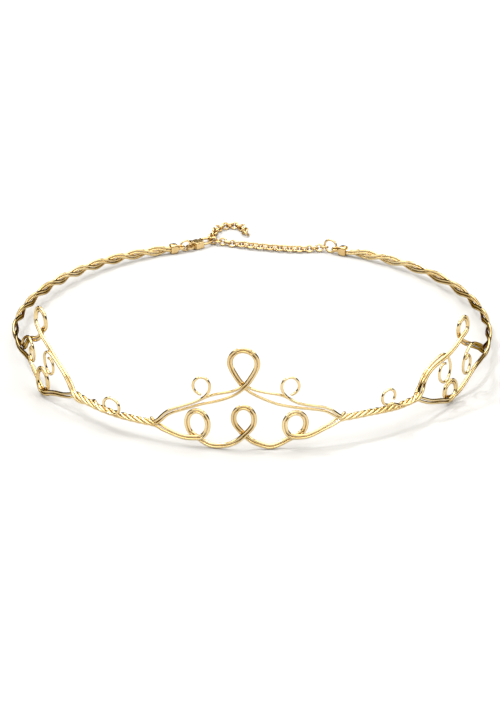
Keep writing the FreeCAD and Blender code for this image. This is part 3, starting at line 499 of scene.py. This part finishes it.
def finish_tree(tree, entry, leave, geometry):
    """Smooth faces, real geometry and the metal."""
    smooth = tree.nodes.new("GeometryNodeSetShadeSmooth")
    real = tree.nodes.new("GeometryNodeRealizeInstances")
    metal = tree.nodes.new("GeometryNodeSetMaterial")
    tree.links.new(geometry, smooth.inputs["Geometry"])
    tree.links.new(smooth.outputs["Geometry"], real.inputs["Geometry"])
    tree.links.new(real.outputs["Geometry"], metal.inputs["Geometry"])
    tree.links.new(entry.outputs["Metal"], metal.inputs["Material"])
    tree.links.new(metal.outputs["Geometry"], leave.inputs["Geometry"])


def drawn_wire_tree():
    """Round wire along a curve, with its cut ends eased."""
    tree, entry, leave = new_tree("drawn_wire", [
        ("Wire Radius", "NodeSocketFloat", size["wire_radius"] * MM),
        ("Step", "NodeSocketFloat", 0.35 * MM),
        ("Sides", "NodeSocketInt", 16),
        ("Eased Length", "NodeSocketFloat", 0.35 * MM),
        ("Eased Size", "NodeSocketFloat", 0.6),
        ("Metal", "NodeSocketMaterial", None),
    ])
    even = tree.nodes.new("GeometryNodeResampleCurve")
    even.mode = "LENGTH"
    tree.links.new(entry.outputs["Geometry"], even.inputs["Curve"])
    tree.links.new(entry.outputs["Step"], even.inputs["Length"])
    profile = tree.nodes.new("GeometryNodeCurvePrimitiveCircle")
    tree.links.new(entry.outputs["Sides"], profile.inputs["Resolution"])
    tree.links.new(entry.outputs["Wire Radius"], profile.inputs["Radius"])
    along = tree.nodes.new("GeometryNodeSplineParameter")
    whole = tree.nodes.new("GeometryNodeSplineLength")
    rest = tree.nodes.new("ShaderNodeMath")
    rest.operation = "SUBTRACT"
    tree.links.new(whole.outputs["Length"], rest.inputs[0])
    tree.links.new(along.outputs["Length"], rest.inputs[1])
    nearest = tree.nodes.new("ShaderNodeMath")
    nearest.operation = "MINIMUM"
    tree.links.new(along.outputs["Length"], nearest.inputs[0])
    tree.links.new(rest.outputs["Value"], nearest.inputs[1])
    eased = tree.nodes.new("ShaderNodeMapRange")
    tree.links.new(nearest.outputs["Value"], eased.inputs["Value"])
    tree.links.new(entry.outputs["Eased Length"], eased.inputs["From Max"])
    tree.links.new(entry.outputs["Eased Size"], eased.inputs["To Min"])
    tube = tree.nodes.new("GeometryNodeCurveToMesh")
    tube.inputs["Fill Caps"].default_value = True
    tree.links.new(even.outputs["Curve"], tube.inputs["Curve"])
    tree.links.new(profile.outputs["Curve"], tube.inputs["Profile Curve"])
    tree.links.new(eased.outputs["Result"], tube.inputs["Scale"])
    finish_tree(tree, entry, leave, tube.outputs["Mesh"])
    return tree


def link_tree():
    """Closed oval link of round wire on every point, turned as the point says."""
    tree, entry, leave = new_tree("oval_links", [
        ("Half Length", "NodeSocketFloat", size["link_half_length"] * MM),
        ("Half Width", "NodeSocketFloat", size["link_half_width"] * MM),
        ("Wire Radius", "NodeSocketFloat", size["link_wire"] * MM),
        ("Around", "NodeSocketInt", 36),
        ("Sides", "NodeSocketInt", 12),
        ("Metal", "NodeSocketMaterial", None),
    ])
    oval_line = tree.nodes.new("GeometryNodeCurvePrimitiveCircle")
    oval_line.inputs["Radius"].default_value = 1.0
    tree.links.new(entry.outputs["Around"], oval_line.inputs["Resolution"])
    shape = tree.nodes.new("ShaderNodeCombineXYZ")
    tree.links.new(entry.outputs["Half Length"], shape.inputs["X"])
    tree.links.new(entry.outputs["Half Width"], shape.inputs["Y"])
    shape.inputs["Z"].default_value = 1.0
    stretch = tree.nodes.new("GeometryNodeTransform")
    tree.links.new(oval_line.outputs["Curve"], stretch.inputs["Geometry"])
    tree.links.new(shape.outputs["Vector"], stretch.inputs["Scale"])
    profile = tree.nodes.new("GeometryNodeCurvePrimitiveCircle")
    tree.links.new(entry.outputs["Sides"], profile.inputs["Resolution"])
    tree.links.new(entry.outputs["Wire Radius"], profile.inputs["Radius"])
    tube = tree.nodes.new("GeometryNodeCurveToMesh")
    tube.inputs["Scale"].default_value = 1.0
    tree.links.new(stretch.outputs["Geometry"], tube.inputs["Curve"])
    tree.links.new(profile.outputs["Curve"], tube.inputs["Profile Curve"])
    turned = tree.nodes.new("GeometryNodeInputNamedAttribute")
    turned.data_type = "FLOAT_VECTOR"
    turned.inputs["Name"].default_value = "turn"
    spread = tree.nodes.new("GeometryNodeInstanceOnPoints")
    tree.links.new(entry.outputs["Geometry"], spread.inputs["Points"])
    tree.links.new(tube.outputs["Mesh"], spread.inputs["Instance"])
    tree.links.new(turned.outputs["Attribute"], spread.inputs["Rotation"])
    finish_tree(tree, entry, leave, spread.outputs["Instances"])
    return tree


def grow(name, seed_data, tree, **values):
    """Mesh piece that a tree makes from a curve or from points."""
    seed = bpy.data.objects.new(name + "_seed", seed_data)
    bpy.context.scene.collection.objects.link(seed)
    modifier = seed.modifiers.new(tree.name, "NODES")
    modifier.node_group = tree
    sockets = {item.name: item.identifier for item in tree.interface.items_tree
               if item.item_type == "SOCKET" and item.in_out == "INPUT"}
    for label, value in values.items():
        modifier[sockets[label.replace("_", " ")]] = value
    bpy.context.view_layer.update()
    made = seed.evaluated_get(bpy.context.evaluated_depsgraph_get())
    mesh = bpy.data.meshes.new_from_object(made)
    bpy.data.objects.remove(seed)
    mesh.name = name
    piece = bpy.data.objects.new(name, mesh)
    bpy.context.scene.collection.objects.link(piece)
    return piece


def bent_wire(name, points, nodes):
    """Wire of the band along its control points, for the CAD pieces that it stands for."""
    curve = bpy.data.curves.new(name + "_line", "CURVE")
    curve.dimensions = "3D"
    curve.resolution_u = 10
    spline = curve.splines.new("NURBS")
    spline.points.add(len(points) - 1)
    for knot, point in zip(spline.points, points):
        knot.co = (*(point * MM), 1.0)
    spline.order_u = 3
    spline.use_endpoint_u = True
    piece = grow(name, curve, drawn_wire, Metal=polished_gold)
    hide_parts(*nodes)
    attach(piece, "circlet")
    return piece


def linked(name, links, node, **values):
    """Links at places (x, y, z, roll, heading) in millimetres and degrees."""
    mesh = bpy.data.meshes.new(name + "_points")
    mesh.from_pydata([Vector(link[:3]) * MM for link in links], [], [])
    turn = mesh.attributes.new("turn", "FLOAT_VECTOR", "POINT")
    for spot, link in zip(turn.data, links):
        spot.vector = (math.radians(link[3]), 0.0, math.radians(link[4]))
    piece = grow(name, mesh, oval_links, Metal=brushed_gold, **values)
    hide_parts(node)
    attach(piece, "circlet")
    return piece


drawn_wire = drawn_wire_tree()
oval_links = link_tree()
# Distance between the control points of a curl, and where the front curl's wire lies on its twist
CURL_SPACING = 1.7
FRONT_CURL_GROOVE_DEG = 45.0
RUNS = ("front_twist", "side", "rear_twist")


def side_name(side):
    return "left" if side == LEFT else "right"


def band_wires():
    """The four wires that run right round, from one crimp to the other."""
    upper = pair(UPPER_LEFT + UPPER_LOOP + UPPER_RIGHT)
    lower = pair(LOWER_START + LEFT_LOOP + LEFT_DIP + MIDDLE_LOOP + RIGHT_DIP + RIGHT_LOOP + LOWER_END)
    front = {"upper_a": upper[0], "upper_b": upper[1], "lower_a": lower[0], "lower_b": lower[1]}
    motif = {}
    for side in (LEFT, RIGHT):
        side_upper = pair(SIDE_UPPER[side])
        side_lower = pair(SIDE_LOWER[side])
        motif[side] = {"upper_a": side_upper[0], "upper_b": side_upper[1],
                       "lower_a": side_lower[0], "lower_b": side_lower[1]}
    for slot in SLOT_DEG:
        arm = {}
        nodes = ["front_" + slot]
        for side in (LEFT, RIGHT):
            rows = rope_rows(side, slot) + motif[side][slot] + coil_rows(side, slot)
            arm[side] = placed(side, rows)
            nodes += ["%s_%s_%s" % (run, side_name(side), slot) for run in RUNS]
        points = arm[LEFT][::-1] + [band(*row) for row in front[slot]] + arm[RIGHT]
        bent_wire("wire_" + slot, points, nodes)


def single_wires(side):
    """Front curl, standing curl with the curl that hangs in the side motif, and rear curl."""
    name = side_name(side)
    start = FRONT_TWIST[side]["start"]
    tail = groove_rows(side, start, FRONT_CURL_GROOVE_DEG, start + FRONT_CURL_TAIL)[::-1]
    bent_wire("curl_front_" + name, placed(side, tail + smooth(FRONT_CURLS[side], CURL_SPACING)),
              ["front_curl_" + name])
    curl = STANDING_CURL[side]
    spiral = []
    for step in range(SPIRAL_STEPS + 1):
        share = step / SPIRAL_STEPS
        angle = math.radians(blend(curl["angles"][0], curl["angles"][1], share))
        tight = blend(1.0, curl["tightens_to"], share ** 2)
        spiral.append((curl["centre"][0] + curl["radii"][0] * tight * math.cos(angle),
                       curl["centre"][1] + curl["radii"][1] * tight * math.sin(angle), STANDING_DEPTH))
    groove = groove_rows(side, size["rope_end"], curl["groove_deg"], curl["leaves"])
    rows = (groove + curl["rows"] + spiral)[::-1] + smooth(SIDE_FRONT_CURL[side], CURL_SPACING)
    bent_wire("curl_standing_" + name, placed(side, rows),
              ["standing_curl_" + name, "side_front_curl_" + name])
    bent_wire("curl_rear_" + name, placed(side, smooth(SIDE_REAR_CURL[side], CURL_SPACING)),
              ["side_rear_curl_" + name])


# Fastening: crimp eyes, rings, clasp and chains

CLASP_HEADING_DEG = 47.0
# Points of the hook's bar that a link hangs on, and the direction in which its chain leaves
HOLDS_MAIN = (10.8, -1.78, -57.0)
HOLDS_TAIL = (11.75, 0.7, 22.0)
LINK_BEYOND_BAR = 0.44
# The link in the right ring: how far beyond the ring's middle line, and its height
LINK_BEYOND_RING = 0.42
LINK_ON_RING = 2.0
# Where the chain lies on the way from the ring to the hook: x, y and least height
BESIDE_RING = Vector((-4.0, -0.2, 1.58))
MAIN_ROUTE = [(14.0, 88.4, 1.2), (0.0, 90.6, 0.0)]
TAIL_ROUTE = [(-18.4, 105.4), (-16.6, 110.2), (-12.0, 113.2), (-7.4, 110.6), (-5.6, 105.2)]
TAIL_PITCH = 1.93
# Rolls of the links at the start, middle and end of each chain, the links over which they drift
# at an end, and how much lower than its neighbours a link may hang
MAIN_ROLLS = (25.0, 69.5, 90.0)
TAIL_ROLLS = (90.0, 45.0, 135.0)
ROLL_LINKS = 6
LINK_DROP = 0.1
TABLE_GAP = 0.02
# Crimp, section by section along the wires: distance from its face, half width, half height and
# how square it is. The first section is the floor of its mouth.
CRIMP_SECTIONS = [
    (0.5, 1.15, 1.15, 4.0), (0.1, 1.2, 1.25, 4.0), (0.0, 1.36, 1.5, 4.0), (0.1, 1.52, 1.78, 4.0),
    (0.4, 1.6, 1.95, 4.5), (1.2, 1.6, 1.98, 4.5), (2.2, 1.6, 1.95, 4.5), (2.7, 1.58, 1.8, 4.0),
    (3.1, 1.56, 1.4, 3.5), (3.4, 1.52, 0.9, 3.0), (3.7, 1.4, 0.5, 3.0), (3.8, 1.2, 0.3, 2.5),
]
CRIMP_POINTS = 40
# Ring of a crimp's eye: radius of its middle line, half width and half height of its section
EYE_SECTION = (1.375, 0.375, 0.5)
EYE_SQUARE = 3.0
EYE_STEPS = 48
EYE_POINTS = 16
# Faces of a jump ring, round the ring and round its wire
HOOP_STEPS = 64
HOOP_POINTS = 20


def crimp_eye(side):
    """Middle of a crimp's eye and the direction in which the crimp points."""
    height = size["crimp_height"] / 2
    here = band(side * size["crimp_start"], height, 0.0)
    heading = (band(side * (size["crimp_start"] + 0.5), height, 0.0) - here).normalized()
    return here + heading * (size["crimp_length"] + size["eye_reach"]), heading


def section(half_width, half_height, square, count):
    """Rounded oblong round the origin: its points (across, up), more square as the number rises."""
    points = []
    for number in range(count):
        angle = 2 * math.pi * number / count
        across = math.copysign(abs(math.cos(angle)) ** (2 / square), math.cos(angle))
        up = math.copysign(abs(math.sin(angle)) ** (2 / square), math.sin(angle))
        points.append((half_width * across, half_height * up))
    return points


def pressed_crimp(side):
    """Crimp pressed round the four wires, soft at its edges, and drawn out flat to a round eye."""
    build = bmesh.new()
    body = []
    for along, half_width, half_height, square in CRIMP_SECTIONS:
        body.append([build.verts.new((along, across, up))
                     for across, up in section(half_width, half_height, square, CRIMP_POINTS)])
    build.faces.new(body[0])
    build.faces.new(body[-1])
    middle_line, half_width, half_height = EYE_SECTION
    eye_x = size["crimp_length"] + size["eye_reach"]
    eye = []
    for number in range(EYE_STEPS):
        angle = 2 * math.pi * number / EYE_STEPS
        eye.append([build.verts.new((eye_x + (middle_line + out) * math.cos(angle),
                                     (middle_line + out) * math.sin(angle), up))
                    for out, up in section(half_width, half_height, EYE_SQUARE, EYE_POINTS)])
    for rings in (body, eye + eye[:1]):
        for near, far in zip(rings, rings[1:]):
            for number in range(len(near)):
                after = (number + 1) % len(near)
                build.faces.new((near[number], near[after], far[after], far[number]))
    bmesh.ops.recalc_face_normals(build, faces=build.faces)
    eye_place, heading = crimp_eye(side)
    face = eye_place - heading * eye_x
    turn = Matrix.Rotation(math.atan2(heading.y, heading.x), 4, "Z")
    build.transform(Matrix.Scale(MM, 4) @ Matrix.Translation(face) @ turn)
    for flat in build.faces:
        flat.smooth = True
    label = side_name(side)
    mesh = bpy.data.meshes.new("pressed_end_" + label)
    build.to_mesh(mesh)
    build.free()
    piece = bpy.data.objects.new("pressed_end_" + label, mesh)
    bpy.context.scene.collection.objects.link(piece)
    mesh.materials.append(brushed_gold)
    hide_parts("crimp_" + label)
    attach(piece, "circlet")


def jump_ring(name, eye, heading, radius):
    """Ring that stands in a crimp's eye; gives its centre."""
    height = radius + size["ring_wire"] + TABLE_GAP
    centre = eye + heading * math.sqrt(radius ** 2 - (height - eye.z) ** 2)
    centre.z = height
    turned = math.degrees(math.atan2(heading.y, heading.x))
    linked("hoop_" + name, [(*centre, 90.0, turned)], "jump_ring_" + name, Half_Length=radius * MM,
           Half_Width=radius * MM, Wire_Radius=size["ring_wire"] * MM, Around=HOOP_STEPS, Sides=HOOP_POINTS)
    return centre


def chain_links(route, spacing, end_rolls):
    """Place of every link along a route on the table, each a quarter turn from the one before."""
    even = smooth(route, spacing)
    last = len(even) - 1
    first_mean, middle_mean, last_mean = end_rolls
    last_mean -= 90.0 * (last % 2)
    rolls = []
    for number in range(len(even)):
        mean = blend(first_mean, middle_mean, min(1.0, number / ROLL_LINKS))
        mean = blend(mean, last_mean, max(0.0, 1.0 - (last - number) / ROLL_LINKS))
        rolls.append(mean + 90.0 * (number % 2))
    lifts = [size["link_half_width"] * abs(math.sin(math.radians(roll))) + size["link_wire"] + TABLE_GAP
             for roll in rolls]
    links = []
    for number, (x, y, least) in enumerate(even):
        before = max(0, number - 1)
        after = min(last, number + 1)
        heading = math.degrees(math.atan2(even[after][1] - even[before][1], even[after][0] - even[before][0]))
        height = max(least, lifts[number], lifts[before] - LINK_DROP, lifts[after] - LINK_DROP)
        links.append((x, y, height, rolls[number], heading))
    return links


def hold_point(clasp_place, hold):
    """Middle of a link that hangs on the hook's bar, and the next point along its chain."""
    x, y, direction = hold
    step = Vector((math.cos(math.radians(direction)), math.sin(math.radians(direction)), 0))
    middle = clasp_place @ (Vector((x, y, 0)) + step * LINK_BEYOND_BAR)
    onward = clasp_place @ (Vector((x, y, 0)) + step * (LINK_BEYOND_BAR + 2 * size["link_pitch"]))
    return (middle.x, middle.y, 0.0), (onward.x, onward.y, 0.0)


def fastening():
    """Jump rings, the extender chain from the right ring to the hook, and its tail."""
    left_eye, left_heading = crimp_eye(LEFT)
    right_eye, right_heading = crimp_eye(RIGHT)
    left_ring = jump_ring("left", left_eye, left_heading, size["left_ring_radius"])
    right_ring = jump_ring("right", right_eye, right_heading, size["right_ring_radius"])
    drop = left_ring.z - size["clasp_height"]
    eye = left_ring + left_heading * math.sqrt(size["left_ring_radius"] ** 2 - drop ** 2)
    eye.z = size["clasp_height"]
    clasp_place = Matrix.Translation(eye) @ Matrix.Rotation(math.radians(CLASP_HEADING_DEG), 4, "Z")
    reach = math.sqrt(size["right_ring_radius"] ** 2 - (right_ring.z - LINK_ON_RING) ** 2)
    on_ring = right_ring + right_heading * (reach + LINK_BEYOND_RING)
    on_ring.z = LINK_ON_RING
    hook, beside_hook = hold_point(clasp_place, HOLDS_MAIN)
    beside_ring = (on_ring.x + BESIDE_RING.x, on_ring.y + BESIDE_RING.y, BESIDE_RING.z)
    main = [tuple(on_ring), beside_ring] + MAIN_ROUTE + [beside_hook, hook]
    linked("links_main", chain_links(main, size["link_pitch"], MAIN_ROLLS), "chain_main")
    hook, beside_hook = hold_point(clasp_place, HOLDS_TAIL)
    tail = [hook, beside_hook] + [(x, y, 0.0) for x, y in TAIL_ROUTE]
    linked("links_tail", chain_links(tail, TAIL_PITCH, TAIL_ROLLS), "chain_tail")


band_wires()
for each_side in (LEFT, RIGHT):
    single_wires(each_side)
    pressed_crimp(each_side)
fastening()
for node_name in ("clasp_body", "clasp_lever"):
    for material_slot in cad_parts[node_name].material_slots:
        material_slot.material = brushed_gold


# Table, light and camera

TABLE_REACH = 12.0
TABLE_PAINT = (0.46, 0.46, 0.46, 1)
# Light of the room by the height of the ray, from level to straight up
ROOM_BANDS = [(0.0, 0.5), (0.015, 0.01), (0.44, 0.01), (0.49, 3.2), (0.66, 3.6), (0.69, 0.08),
              (0.80, 0.08), (0.83, 4.0)]
ROOM_WARMTH = (1.0, 0.98, 0.94)
LAMP_STRENGTH = 1.1
LAMP_ANGLE_DEG = 7
LAMP_TILT_DEG = (-8, -25)
# Point that the camera looks at in millimetres, its distance in metres, its height over the
# table and its turn from the front in degrees, and its lens
VIEW_TARGET = (0.13, -25.1, 5.0)
VIEW_DISTANCE = 1.2
VIEW_RISE_DEG = 24.5
VIEW_SWING_DEG = 1.8
VIEW_LENS = 162.8


def white_table():
    """Wide plain table top, a little under the object."""
    mesh = bpy.data.meshes.new("table_top")
    corners = [(x * TABLE_REACH, y * TABLE_REACH, 0) for x, y in ((-1, -1), (1, -1), (1, 1), (-1, 1))]
    mesh.from_pydata(corners, [], [(0, 1, 2, 3)])
    top = bpy.data.objects.new("table_top", mesh)
    bpy.context.scene.collection.objects.link(top)
    paint = bpy.data.materials.new("white_table_paint")
    paint.use_nodes = True
    shader = paint.node_tree.nodes["Principled BSDF"]
    shader.inputs["Base Color"].default_value = TABLE_PAINT
    shader.inputs["Roughness"].default_value = 0.9
    shader.inputs["Specular IOR Level"].default_value = 0.1
    mesh.materials.append(paint)


def studio():
    """Soft white light from above, with dark bands round the room for the metal to mirror."""
    room = bpy.context.scene.world or bpy.data.worlds.new("room")
    bpy.context.scene.world = room
    room.use_nodes = True
    tree = room.node_tree
    tree.nodes.clear()
    where = tree.nodes.new("ShaderNodeTexCoord")
    split = tree.nodes.new("ShaderNodeSeparateXYZ")
    ramp = tree.nodes.new("ShaderNodeValToRGB")
    stops = ramp.color_ramp
    while len(stops.elements) < len(ROOM_BANDS):
        stops.elements.new(0.5)
    for stop, (place, light) in zip(stops.elements, ROOM_BANDS):
        stop.position = place
        stop.color = (*(light * share for share in ROOM_WARMTH), 1)
    shown = tree.nodes.new("ShaderNodeLightPath")
    mirrored = tree.nodes.new("ShaderNodeBackground")
    plain = tree.nodes.new("ShaderNodeBackground")
    plain.inputs["Color"].default_value = (1, 1, 1, 1)
    mix = tree.nodes.new("ShaderNodeMixShader")
    leave = tree.nodes.new("ShaderNodeOutputWorld")
    tree.links.new(where.outputs["Generated"], split.inputs["Vector"])
    tree.links.new(split.outputs["Z"], ramp.inputs["Fac"])
    tree.links.new(ramp.outputs["Color"], mirrored.inputs["Color"])
    tree.links.new(shown.outputs["Is Camera Ray"], mix.inputs["Fac"])
    tree.links.new(mirrored.outputs["Background"], mix.inputs[1])
    tree.links.new(plain.outputs["Background"], mix.inputs[2])
    tree.links.new(mix.outputs["Shader"], leave.inputs["Surface"])
    soft = bpy.data.lights.new("soft_overhead", "SUN")
    soft.energy = LAMP_STRENGTH
    soft.angle = math.radians(LAMP_ANGLE_DEG)
    lamp = bpy.data.objects.new("soft_overhead", soft)
    lamp.rotation_euler = Euler((*map(math.radians, LAMP_TILT_DEG), 0))
    bpy.context.scene.collection.objects.link(lamp)


def camera():
    """Camera a little to the right of the front, looking down at the band."""
    lens = bpy.data.cameras.new("camera")
    lens.lens = VIEW_LENS
    lens.sensor_width = 36.0
    lens.clip_start = 0.01
    lens.clip_end = 50.0
    viewer = bpy.data.objects.new("camera", lens)
    target = Vector(VIEW_TARGET) * MM
    rise = math.radians(VIEW_RISE_DEG)
    swing = math.radians(VIEW_SWING_DEG)
    viewer.location = target + VIEW_DISTANCE * Vector((
        math.cos(rise) * math.sin(swing), -math.cos(rise) * math.cos(swing), math.sin(rise)))
    viewer.rotation_euler = (target - viewer.location).to_track_quat("-Z", "Y").to_euler()
    bpy.context.scene.collection.objects.link(viewer)
    bpy.context.scene.camera = viewer


white_table()
studio()
camera()
bpy.context.scene.view_settings.view_transform = "Standard"
